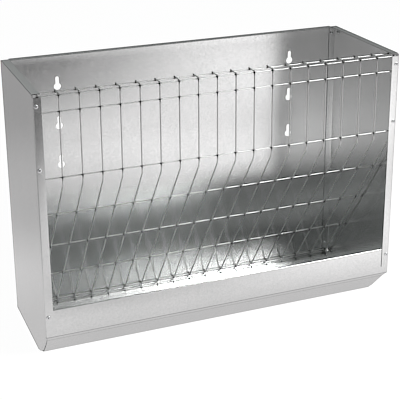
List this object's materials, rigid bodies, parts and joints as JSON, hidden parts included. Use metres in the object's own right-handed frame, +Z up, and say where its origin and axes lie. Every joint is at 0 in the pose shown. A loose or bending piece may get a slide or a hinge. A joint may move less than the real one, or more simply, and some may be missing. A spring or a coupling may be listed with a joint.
{
  "type": "wall hay feeder",
  "caption": "Wall hay feeder: a folded sheet-metal back panel and trough between two flanged side panels, with a bent welded wire grid that holds the hay.",
  "frame": {"origin": "bottom centre of the bounding box, on the plane that the four floor rivets stand on", "axes": "+X along the width to the right seen from the front, +Y towards the wall, +Z up; the trough faces -Y"},
  "size_m": [0.6, 0.2172, 0.4411],
  "materials": {
    "sheet": "galvanised, finely spangled",
    "wire": "zinc plated",
    "rivet": "satin"
  },
  "bodies": {
    "root": {"body_sheet": "sheet", "cross_wire_1": "wire", "cross_wire_2": "wire", "cross_wire_3": "wire", "cross_wire_4": "wire", "cross_wire_5": "wire", "cross_wire_6": "wire", "cross_wire_7": "wire", "cross_wire_8": "wire", "floor_rivet_left_front": "rivet", "floor_rivet_left_rear": "rivet", "floor_rivet_right_front": "rivet", "floor_rivet_right_rear": "rivet", "front_rivet_left_lip": "rivet", "front_rivet_left_middle": "rivet", "front_rivet_left_top": "rivet", "front_rivet_right_lip": "rivet", "front_rivet_right_middle": "rivet", "front_rivet_right_top": "rivet", "grid_clip_left_middle": "sheet", "grid_clip_left_top": "sheet", "grid_clip_right_middle": "sheet", "grid_clip_right_top": "sheet", "left_side_panel": "sheet", "rear_rivet_left_foot": "rivet", "rear_rivet_left_top": "rivet", "rear_rivet_right_foot": "rivet", "rear_rivet_right_top": "rivet", "right_side_panel": "sheet", "upright_wire_01": "wire", "upright_wire_02": "wire", "upright_wire_03": "wire", "upright_wire_04": "wire", "upright_wire_05": "wire", "upright_wire_06": "wire", "upright_wire_07": "wire", "upright_wire_08": "wire", "upright_wire_09": "wire", "upright_wire_10": "wire", "upright_wire_11": "wire", "upright_wire_12": "wire", "upright_wire_13": "wire", "upright_wire_14": "wire", "upright_wire_15": "wire", "upright_wire_16": "wire", "upright_wire_17": "wire", "upright_wire_18": "wire", "upright_wire_19": "wire", "upright_wire_20": "wire"}
  },
  "joints": []
}
